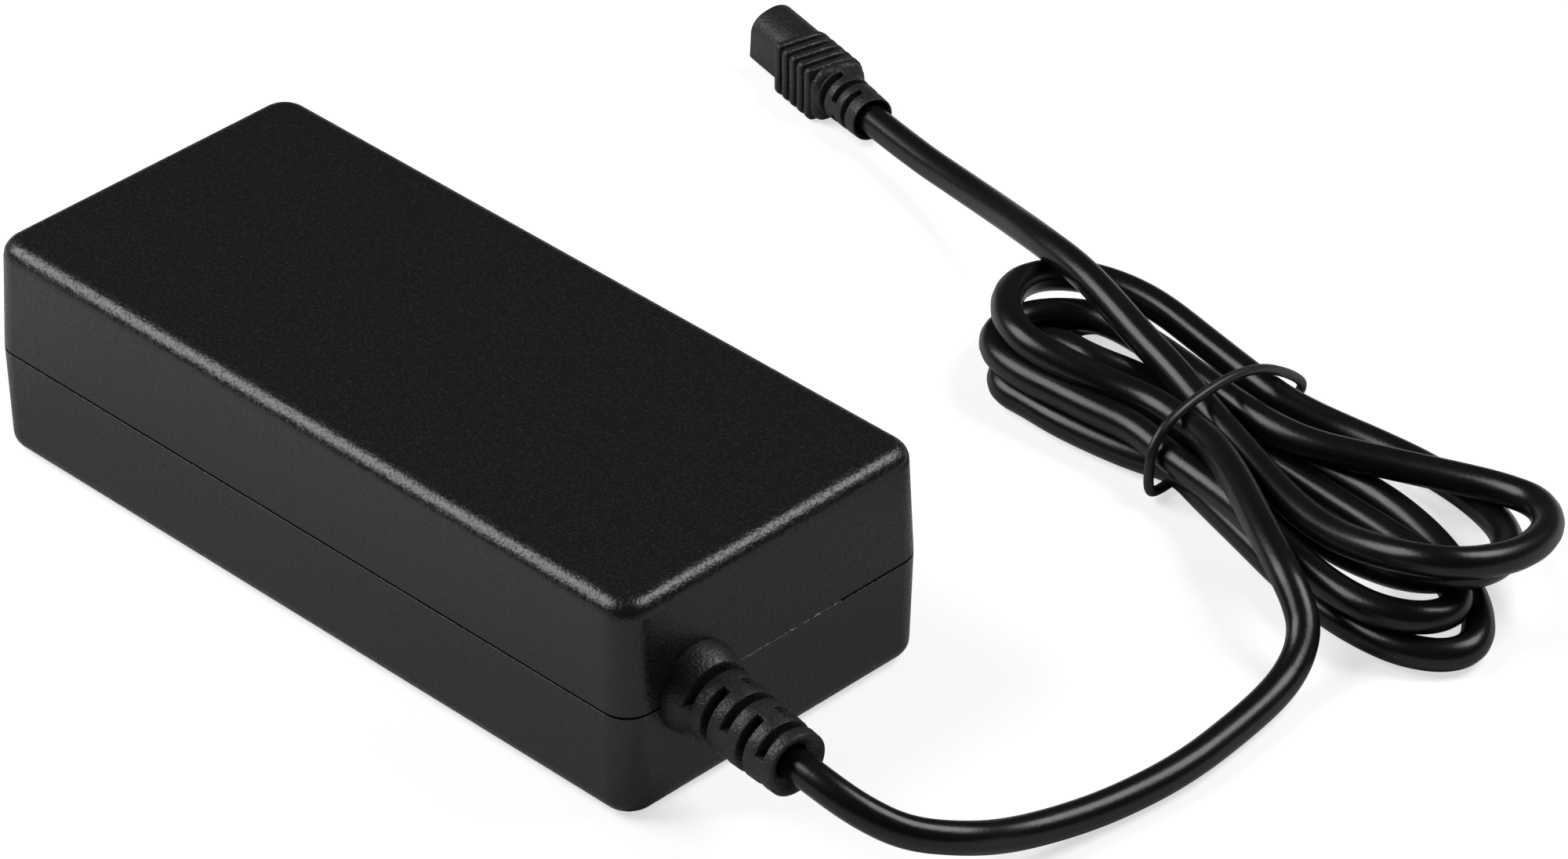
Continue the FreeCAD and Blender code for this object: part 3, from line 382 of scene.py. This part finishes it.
# %% Strain relief
WALL_POINT = (0.065, -0.01563, 0.0171)
RELIEF_HEADING = -5.2
RELIEF_DROOP = 3.5
START_OUTSIDE = 0.003
RELIEF_ROOT = [
    (-7.6, 2.65), (-7.6, 7.0), (-6.2, 7.0), (-6.2, 4.7), (-4.2, 4.7), (-4.2, 6.85), (-2.8, 6.85),
    (-1.9, 6.75), (-1.1, 6.55), (-0.3, 6.25), (0.56, 5.85), (1.95, 5.6),
]
RELIEF_TIP = [(17.9, 4.85), (17.9, 4.35), (17.5, 3.8), (16.7, 2.65)]
RELIEF_SLOTS = (0.56, 4.07, 7.58, 11.09, 14.6)
RELIEF_SLOT_WIDTH = 1.39
RELIEF_CORE = 3.4
RELIEF_BRIDGES = ((-5, 22.5), (90, 15))


def make_relief():
    shape = bmesh.new()
    slotted_tail(shape, RELIEF_ROOT, RELIEF_TIP, RELIEF_SLOTS, RELIEF_SLOT_WIDTH, RELIEF_CORE,
                 RELIEF_BRIDGES)
    droop = Matrix.Rotation(math.radians(RELIEF_DROOP), 4, "Y")
    place = laid(WALL_POINT, RELIEF_HEADING) @ droop @ Matrix.Translation((START_OUTSIDE, 0, 0))
    return place_piece(shape, "relief", place, "relief", "output_strain_relief")


relief = make_relief()

# %% [markdown]
# The plug is one moulding: a plain nose, a ribbed grip for the fingers and a slotted tail. It
# could be one lofted shell, but its ribs are separate prisms on a common waist on the real one
# too, so each form is a polygon whose corners are rounded one by one, drawn out along X, with
# rounded rims.

# %% Rounded prisms
def box_corners(width, height, bottom):
    return [(-width / 2, bottom), (width / 2, bottom), (width / 2, bottom + height),
            (-width / 2, bottom + height)]


def round_corners(shape, verts, radius, segments):
    bmesh.ops.bevel(shape, geom=verts, offset=radius, offset_type="OFFSET", segments=segments,
                    profile=0.5, affect="VERTICES", clamp_overlap=True, material=-1)


def prism(shape, corners, radii, start, length, rim):
    """A rounded polygon in (across, up) points, drawn out along X, with rounded rims."""
    verts = [shape.verts.new((start, across, up)) for across, up in corners]
    shape.faces.new(verts)
    known = set(shape.verts) - set(verts)
    for vert, radius in zip(verts, radii):
        round_corners(shape, [vert], radius, segments=6)
    outline = [vert for vert in shape.verts if vert not in known]
    grown = bmesh.ops.extrude_face_region(shape, geom=[outline[0].link_faces[0]])["geom"]
    far = new_verts(grown)
    bmesh.ops.translate(shape, vec=(length, 0, 0), verts=far)
    rims = {edge for vert in outline + far for edge in vert.link_edges
            if edge.calc_length() > 0 and abs(edge.verts[0].co.x - edge.verts[1].co.x) < 0.01}
    round_edges(shape, list(rims), rim)


# %% [markdown]
# The front of the nose should have a square pocket, in which the contact carrier sits. A boolean
# could cut it, but an inset keeps the mesh clean: a face at the front is inset, its inner part is
# squeezed to a square, and then it is pushed in. One flaw is left. The bevel leaves slivers of no
# area in the front plane, and the face furthest along -X turns out to be one of them, so only a
# sliver goes in and the front stays closed. Taking the largest face there would open the pocket.

# %% Pocket
POCKET_MIDDLE = (0.5, 5.0)
POCKET_SIDE = 5.6
POCKET_DEPTH = 9.1
FRONT_INSET = 0.9


def sink_pocket(shape):
    """Squeezes the face furthest along -X to a square and pushes it in."""
    front = min(shape.faces, key=lambda face: face.calc_center_median().x)
    bmesh.ops.inset_region(shape, faces=[front], thickness=FRONT_INSET, use_even_offset=True)
    across, up = POCKET_MIDDLE
    half = POCKET_SIDE / 2
    for vert in front.verts:
        vert.co.y = max(across - half, min(across + half, vert.co.y))
        vert.co.z = max(up - half, min(up + half, vert.co.z))
    grown = bmesh.ops.extrude_face_region(shape, geom=[front])["geom"]
    bmesh.ops.delete(shape, geom=[front], context="FACES")
    bmesh.ops.translate(shape, vec=(POCKET_DEPTH, 0, 0), verts=new_verts(grown))


# %% [markdown]
# The plug's forms reach into each other, so that no gap shows between them. The waist runs
# through all the ribs, the nose reaches into the first rib, and a rounded heel joins the last
# one to the slotted tail. The plug lies flat on the floor.

# %% Plug
NOSE_LENGTH = 9.05
NOSE_CORNERS = [(-3.8, 0.9), (4.8, 0.9), (4.3, 9.2), (0.0, 9.2), (-3.45, 7.8)]
NOSE_RADII = (1.0, 1.0, 3.2, 1.7, 1.9)
NOSE_RIM = 0.25
NOSE_OVERLAP = 0.3
RIB_CORNERS = box_corners(10.2, 9.14, 0.0)
RIB_RADII = (1.2, 1.2, 3.6, 0.9)
RIB_RIM = 0.42
RIB_PITCH = 2.11
RIB_LENGTH = 1.4
RIB_COUNT = 5
WAIST_CORNERS = box_corners(8.5, 7.5, 0.85)
WAIST_RADII = (0.8, 0.8, 3.0, 0.6)
WAIST_RIM = 0.1
WAIST_OVERLAP = 0.5
HEEL_CORNERS = box_corners(9.4, 8.9, 0.1)
HEEL_RADII = (2.2, 2.2, 3.6, 3.0)
HEEL_RIM = 1.0
HEEL_OVERLAP = 1.0
HEEL_LENGTH = 2.5
TAIL_START = NOSE_LENGTH + (RIB_COUNT - 1) * RIB_PITCH + RIB_LENGTH
TAIL_AXIS = (-0.22, 4.58)
PLUG_ROOT = [(-1.2, 2.6), (-1.2, 4.5), (0.0, 4.5), (1.0, 4.35), (1.85, 4.0), (3.0, 3.87)]
PLUG_TIP = [(10.7, 3.55), (10.7, 3.3), (9.6, 2.55)]
PLUG_SLOTS = (1.85, 4.55, 7.25)
PLUG_SLOT_WIDTH = 1.12
PLUG_CORE = 2.75
PLUG_BRIDGES = ((105, 15), (0, 17.5))
PLUG_PLACE = (-0.060017, 0.123641, 0)
PLUG_HEADING = -12.96


def make_plug():
    shape = bmesh.new()
    slotted_tail(shape, PLUG_ROOT, PLUG_TIP, PLUG_SLOTS, PLUG_SLOT_WIDTH, PLUG_CORE, PLUG_BRIDGES)
    bmesh.ops.translate(shape, vec=(TAIL_START, *TAIL_AXIS), verts=shape.verts)
    for index in range(RIB_COUNT):
        start = NOSE_LENGTH + index * RIB_PITCH
        prism(shape, RIB_CORNERS, RIB_RADII, start, RIB_LENGTH, RIB_RIM)
    prism(shape, WAIST_CORNERS, WAIST_RADII, NOSE_LENGTH - WAIST_OVERLAP,
          TAIL_START - NOSE_LENGTH, WAIST_RIM)
    prism(shape, HEEL_CORNERS, HEEL_RADII, TAIL_START - HEEL_OVERLAP, HEEL_LENGTH, HEEL_RIM)
    prism(shape, NOSE_CORNERS, NOSE_RADII, 0.0, NOSE_LENGTH + NOSE_OVERLAP, NOSE_RIM)
    sink_pocket(shape)
    return place_piece(shape, "plug", laid(PLUG_PLACE, PLUG_HEADING), "relief", "plug_overmould")


plug = make_plug()

# %% [markdown]
# Where the two shells meet, a shallow groove runs round the housing, and the gap at its bottom lets
# no light out. The groove alone mirrors too much light, so a thin dark band in it, painted shade,
# stands for the gap. It leaves out the mains inlet, and a stretch beside the relief, where the
# shells close so tightly that light comes back.

# %% Parting gap, painted shade
GAP_OUTLINE = [(-64.97, -28.67), (64.97, -28.67), (64.97, 28.67), (-64.97, 28.67)]
GAP_CORNER = 4.35
GAP_BOTTOM = 16.93
GAP_HEIGHT = 0.34
GAP_THICKNESS = 0.1
END_FROM = 64.5
INLET_HALF = 14.4
TIGHT_FROM, TIGHT_TO = -8.0, 12.0


# The band is painted shade: a near-black sheet laid in the groove over the gap between the shells.
def make_gap_shade():
    shape = bmesh.new()
    verts = [shape.verts.new((along, across, GAP_BOTTOM)) for along, across in GAP_OUTLINE]
    shape.faces.new(verts)
    round_corners(shape, verts, GAP_CORNER, segments=12)
    grown = bmesh.ops.extrude_face_region(shape, geom=shape.faces[:])["geom"]
    bmesh.ops.translate(shape, vec=(0, 0, GAP_HEIGHT), verts=new_verts(grown))
    for across in (-INLET_HALF, TIGHT_FROM, TIGHT_TO, INLET_HALF):
        bmesh.ops.bisect_plane(shape, geom=shape.verts[:] + shape.edges[:] + shape.faces[:],
                               plane_co=(0, across, 0), plane_no=(0, 1, 0))
    shape.normal_update()
    middles = {face: face.calc_center_median() for face in shape.faces}
    spare = [face for face, middle in middles.items() if abs(face.normal.z) > 0.5
             or (middle.x < -END_FROM and abs(middle.y) < INLET_HALF)
             or (middle.x > END_FROM and TIGHT_FROM < middle.y < TIGHT_TO)]
    bmesh.ops.delete(shape, geom=spare, context="FACES")
    bmesh.ops.solidify(shape, geom=shape.faces[:], thickness=GAP_THICKNESS)
    return place_piece(shape, "parting_gap", Matrix.Identity(4), "housing")


gap = make_gap_shade()

# %% [markdown]
# The cord is one curve of its real thickness, and its far end is the plug.

print("cord runs to the plug")

# %% [markdown]
# Every finish below is a procedural material: its detail is worked out from the place on the
# surface. Shader arithmetic is easiest to read when it looks like arithmetic, so a small class
# wraps one socket and turns + - * and ** into Math nodes.

# %% Shader arithmetic
class Socket:
    """The output of a node, which can be added, multiplied and so on."""

    def __init__(self, tree, source):
        self.tree = tree
        self.source = source

    def maths(self, operation, first, second):
        node = self.tree.nodes.new("ShaderNodeMath")
        node.operation = operation
        for place, value in zip(node.inputs, (first, second)):
            if isinstance(value, Socket):
                self.tree.links.new(value.source, place)
            else:
                place.default_value = value
        return Socket(self.tree, node.outputs[0])

    def __add__(self, other):
        return self.maths("ADD", self, other)

    def __radd__(self, other):
        return self.maths("ADD", other, self)

    def __sub__(self, other):
        return self.maths("SUBTRACT", self, other)

    def __rsub__(self, other):
        return self.maths("SUBTRACT", other, self)

    def __mul__(self, other):
        return self.maths("MULTIPLY", self, other)

    def __rmul__(self, other):
        return self.maths("MULTIPLY", other, self)

    def __pow__(self, other):
        return self.maths("POWER", self, other)

    def __rpow__(self, other):
        return self.maths("POWER", other, self)


# %% [markdown]
# A second class holds a node tree, to which one method adds any other node. A third one is a
# material, built about its main shader. A material could be built link by link each time, but
# every finish here does the same: it reads the place on the surface, makes noise from it, and
# links colour, roughness and bump to that noise.

# %% Finishes
class Nodes:
    """A node tree. Its one method adds a node: settings first, then its inputs' values or links."""

    def __init__(self, tree):
        self.tree = tree

    def node(self, kind, settings=None, inputs=None, output=0):
        made = self.tree.nodes.new(kind)
        for key, value in (settings or {}).items():
            setattr(made, key, value)
        for key, value in (inputs or {}).items():
            if isinstance(value, Socket):
                self.tree.links.new(value.source, made.inputs[key])
            else:
                made.inputs[key].default_value = value
        return Socket(self.tree, made.outputs[output])


class Finish(Nodes):
    """One material. The constants are set on its shader's own sockets."""

    def __init__(self, name, **constants):
        self.material = bpy.data.materials.new(name)
        self.material.use_nodes = True
        super().__init__(self.material.node_tree)
        self.shader = self.tree.nodes["Principled BSDF"]
        for socket, value in constants.items():
            self.shader.inputs[socket.replace("_", " ")].default_value = value

    def place(self):
        return self.node("ShaderNodeTexCoord", output="Object")

    def noise(self, place, scale, detail=2.0, roughness=0.5):
        return self.node("ShaderNodeTexNoise", inputs={
            "Vector": place, "Scale": scale, "Detail": detail, "Roughness": roughness})

    def between(self, share, low, high):
        """A colour that goes from low to high as share goes from 0 to 1."""
        return self.node("ShaderNodeMix", {"data_type": "RGBA"}, {
            "Factor": share, 6: (*low, 1), 7: (*high, 1)}, output=2)

    def bump(self, height, distance):
        return self.node("ShaderNodeBump", inputs={"Height": height, "Distance": distance})

    def use(self, **links):
        for socket, value in links.items():
            self.tree.links.new(value.source, self.shader.inputs[socket.replace("_", " ")])
        return self.material


def dress(finish, *names):
    for name in names:
        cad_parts[name].material_slots[0].material = finish
    print(finish.name, "on", len(names), "pieces")


# %% [markdown]
# The housing is moulded in black plastic with a fine spark-eroded grain, which glitters where an
# edge mirrors a lamp. The grain could be a strong bump, but that would spread every highlight
# wide. So the bump is faint, and the glitter comes from the roughness: the noise is cubed, which
# leaves most of the surface fairly smooth and dulls scattered specks.

# %% Housing finish
def sparkling_grain(finish, place):
    """A fine grain from 0 to 1, and its peaks, which stand out as scattered specks."""
    grain = finish.noise(place, scale=2600, detail=1.0, roughness=0.4)
    return grain, grain ** 3 * 4


def housing_finish():
    finish = Finish("housing_plastic", IOR=1.5)
    grain, sparks = sparkling_grain(finish, finish.place())
    return finish.use(
        Base_Color=finish.between(grain, (0.007, 0.007, 0.0075), (0.008, 0.008, 0.0085)),
        Roughness=0.23 + sparks * 0.18,
        Normal=finish.bump(grain, 0.00006),
    )


dress(housing_finish(), "upper_shell", "lower_shell")

# %% [markdown]
# The painted shadow in the parting groove is nearly black and mirrors nothing. One flat black would
# nearly do, but a faint cloud gives it the unevenness of a real shadow.

# %% Shadow finish
def gap_shade_finish():
    finish = Finish("parting_shadow", Roughness=0.9, Specular_IOR_Level=0.0)
    cloud = finish.noise(finish.place(), scale=60, detail=1.0)
    return finish.use(
        Base_Color=finish.between(cloud, (0.001, 0.001, 0.001), (0.002, 0.002, 0.002)))


gap.data.materials.append(gap_shade_finish())
print("shadow on", gap.name)

# %% [markdown]
# The strain relief and the plug are moulded in a softer, greyer and more matt plastic. The grain
# alone would leave them as even as the housing, so larger clouds of a slightly lighter colour
# lie over it, as on a soft moulding that has been handled.

# %% Relief and plug finish
def relief_finish():
    finish = Finish("relief_plastic", IOR=1.47)
    place = finish.place()
    grain, sparks = sparkling_grain(finish, place)
    cloud = finish.noise(place, scale=260)
    return finish.use(
        Base_Color=finish.between(cloud, (0.009, 0.009, 0.010), (0.015, 0.015, 0.017)),
        Roughness=0.36 + sparks * 0.2,
        Normal=finish.bump(grain, 0.0001),
    )


relief_plastic = relief_finish()
for piece in (relief, plug):
    piece.data.materials.append(relief_plastic)
print("relief plastic on", relief.name, "and", plug.name)

# %% [markdown]
# The cord's jacket is extruded, which leaves it smooth and a little glossy, with the faintest
# waviness. A bump strong enough to be seen would look like cloth, so the waviness goes into the
# colour and the roughness, and the highlights stay soft and bright. The tie's sleeve is the same
# kind of thing, a little duller.

# %% Cord and tie finishes
def cord_finish():
    finish = Finish("cord_jacket", IOR=1.43)
    place = finish.place()
    fine = finish.noise(place, scale=1800)
    wave = finish.noise(place, scale=120, detail=1.0)
    return finish.use(
        Base_Color=finish.between(wave, (0.004, 0.004, 0.0045), (0.006, 0.006, 0.0065)),
        Roughness=0.23 + wave * 0.1,
        Normal=finish.bump(fine, 0.00002),
    )


def tie_finish():
    finish = Finish("tie_sleeve", IOR=1.5)
    wave = finish.noise(finish.place(), scale=400)
    return finish.use(
        Base_Color=finish.between(wave, (0.007, 0.007, 0.008), (0.012, 0.012, 0.013)),
        Roughness=0.34 + wave * 0.1,
        Normal=finish.bump(wave, 0.00002),
    )


cord.data.materials.append(cord_finish())
tie.data.materials.append(tie_finish())
print("finishes on", cord.name, "and", tie.name)

# %% [markdown]
# The mains inlet is seen only from behind: a semi-matt black body with three plated blades. The
# plug's carrier is of the same plastic, and its contacts are brass. Many more pieces need a
# plain plastic or a plain metal, so each kind has one function. A metal's noise is stretched,
# which makes brush marks of it.

# %% Plain plastics and metals
def plastic_finish(name, low, high, roughness, scale, height):
    finish = Finish(name, IOR=1.5)
    grain = finish.noise(finish.place(), scale, roughness=0.6)
    return finish.use(
        Base_Color=finish.between(grain, low, high),
        Roughness=roughness - 0.06 + grain * 0.12,
        Normal=finish.bump(grain, height),
    )


def metal_finish(name, low, high, roughness, scale, height):
    finish = Finish(name, Metallic=1.0)
    stretched = finish.node("ShaderNodeMapping", inputs={
        "Vector": finish.place(), "Scale": (1, 12, 12)})
    brushed = finish.noise(stretched, scale, detail=3.0, roughness=0.6)
    return finish.use(
        Base_Color=finish.between(brushed, low, high),
        Roughness=roughness - 0.08 + brushed * 0.16,
        Normal=finish.bump(brushed, height),
    )


# %% [markdown]
# Each row below is a finish: its darker and lighter colour, its roughness, its grain's scale and
# height, and the pieces that wear it. The parts inside the housing don't show, but the model can
# be opened, so each has the look of its kind: laminate, moulded packages, sleeved cans, dipped
# resin, sintered ferrite, enamelled wire, tape and bare aluminium.

# %% Finishes of the inlet and the parts inside
PLASTICS = {
    "inlet_plastic": ((0.008, 0.008, 0.008), (0.014, 0.014, 0.014), 0.45, 3000, 0.00004,
                      ("inlet_body", "plug_insert")),
    "board_laminate": ((0.36, 0.24, 0.09), (0.44, 0.31, 0.12), 0.5, 500, 0.00003,
                       ("circuit_board",)),
    "dark_package": ((0.010, 0.010, 0.011), (0.020, 0.020, 0.021), 0.55, 2600, 0.00004,
                     ("bridge_rectifier", "controller_chip", "optocoupler",
                      "switching_transistor", "output_rectifier", "fuse")),
    "can_sleeve": ((0.012, 0.016, 0.05), (0.018, 0.024, 0.07), 0.3, 300, 0.00002,
                   ("bulk_capacitor", "output_capacitor_a", "output_capacitor_b")),
    "disc_resin": ((0.02, 0.10, 0.32), (0.03, 0.14, 0.42), 0.28, 700, 0.00008,
                   ("y_capacitor", "thermistor")),
    "film_box": ((0.62, 0.42, 0.04), (0.70, 0.50, 0.07), 0.35, 600, 0.00003, ("x_capacitor",)),
    "ferrite": ((0.020, 0.020, 0.022), (0.040, 0.040, 0.042), 0.6, 1500, 0.00008,
                ("transformer_core", "choke_core", "output_choke")),
    "winding_tape": ((0.62, 0.42, 0.03), (0.74, 0.54, 0.06), 0.3, 400, 0.00003,
                     ("transformer_winding",)),
    "wire_sleeve": ((0.015, 0.015, 0.016), (0.028, 0.028, 0.030), 0.4, 900, 0.00003,
                    ("inlet_lead_line", "inlet_lead_neutral", "output_lead_positive",
                     "output_lead_negative")),
}
METALS = {
    "plated_blade": ((0.52, 0.50, 0.46), (0.66, 0.64, 0.60), 0.3, 90, 0.00001,
                     ("inlet_pin_line", "inlet_pin_neutral", "inlet_pin_earth")),
    "contact_brass": ((0.60, 0.42, 0.16), (0.74, 0.55, 0.26), 0.32, 90, 0.00001,
                      ("plug_contact_a", "plug_contact_b")),
    "copper_winding": ((0.52, 0.20, 0.06), (0.70, 0.32, 0.12), 0.32, 260, 0.0002,
                       ("choke_winding_a", "choke_winding_b")),
    "bare_aluminium": ((0.58, 0.58, 0.60), (0.72, 0.72, 0.74), 0.38, 120, 0.00002,
                       ("primary_heatsink", "secondary_heatsink")),
}
for make_finish, table in ((plastic_finish, PLASTICS), (metal_finish, METALS)):
    for name, (*look, pieces) in table.items():
        dress(make_finish(name, *look), *pieces)

# %% [markdown]
# The object lies on white paper that fills the view. Stronger lamps would make it white, but
# would wash out the black plastic. So where the camera sees the paper, it glows a little by
# itself, which lifts it to white while the object's soft shadow still shows on it, and it glows
# very faintly where the plastic mirrors it. The room above stays dark, so the housing's flat top
# stays dark too. The paper lies a hair below the object, so that no two faces fall together.

# %% Floor and world
FLOOR_HALF = 6.0
FLOOR_HEIGHT = -0.0002
PAPER = (0.62, 0.62, 0.62, 1)
PAPER_GLOW = 0.64
MIRRORED_GLOW = 0.012
ROOM_LIGHT = 0.035


def rays(nodes, kind):
    """1 where a ray is of that kind, and 0 elsewhere."""
    return nodes.node("ShaderNodeLightPath", output=kind)


def make_floor():
    mesh = bpy.data.meshes.new("floor")
    shape = bmesh.new()
    bmesh.ops.create_grid(shape, x_segments=1, y_segments=1, size=FLOOR_HALF)
    bmesh.ops.translate(shape, vec=(0, 0, FLOOR_HEIGHT), verts=shape.verts)
    shape.to_mesh(mesh)
    shape.free()
    floor = bpy.data.objects.new("floor", mesh)
    bpy.context.scene.collection.objects.link(floor)
    paper = Finish("floor_paper", Base_Color=PAPER, Roughness=0.9, Emission_Strength=1.0)
    glow = (rays(paper, "Is Camera Ray") * PAPER_GLOW
            + rays(paper, "Is Glossy Ray") * MIRRORED_GLOW)
    mesh.materials.append(paper.use(Emission_Color=glow))
    return floor


def make_world():
    world = bpy.data.worlds.new("studio")
    world.use_nodes = True
    bpy.context.scene.world = world
    nodes = Nodes(world.node_tree)
    seen = rays(nodes, "Is Camera Ray")
    power = ROOM_LIGHT * (1 - seen) + seen
    background = world.node_tree.nodes["Background"]
    background.inputs["Color"].default_value = (1, 1, 1, 1)
    world.node_tree.links.new(power.source, background.inputs["Strength"])
    return world


floor = make_floor()
world = make_world()
print("made", floor.name, "and", world.name)

# %% [markdown]
# Small lamps would draw glints with hard edges, so two large ones draw the highlights. The close
# one on the left runs its light along the housing's long top edge and the cord's strands. The
# larger one, further off behind on the right, lights the edge above the strain relief. Neither
# is mirrored in the flat top.

# %% Lamps
def make_lamp(name, target, direction, distance, side, power):
    """A square lamp that looks at a target from a direction."""
    data = bpy.data.lights.new(name, "AREA")
    data.size = side
    data.energy = power
    lamp = bpy.data.objects.new(name, data)
    towards = Vector(direction).normalized()
    lamp.location = Vector(target) + towards * distance
    lamp.rotation_euler = towards.to_track_quat("Z", "Y").to_euler()
    bpy.context.scene.collection.objects.link(lamp)
    print(name, "at", tuple(round(value, 3) for value in lamp.location))


make_lamp("lamp_left", target=(-0.05, -0.03, 0.035), direction=(-0.58, -0.43, 0.69),
          distance=0.75, side=0.56, power=6)
make_lamp("lamp_right", target=(0.05, 0.01, 0.03), direction=(0.30, 0.58, 0.75),
          distance=1.5, side=0.8, power=14)

# %% [markdown]
# The last cell sets the view transform to Standard.

# %% View transform
bpy.context.scene.view_settings.view_transform = "Standard"
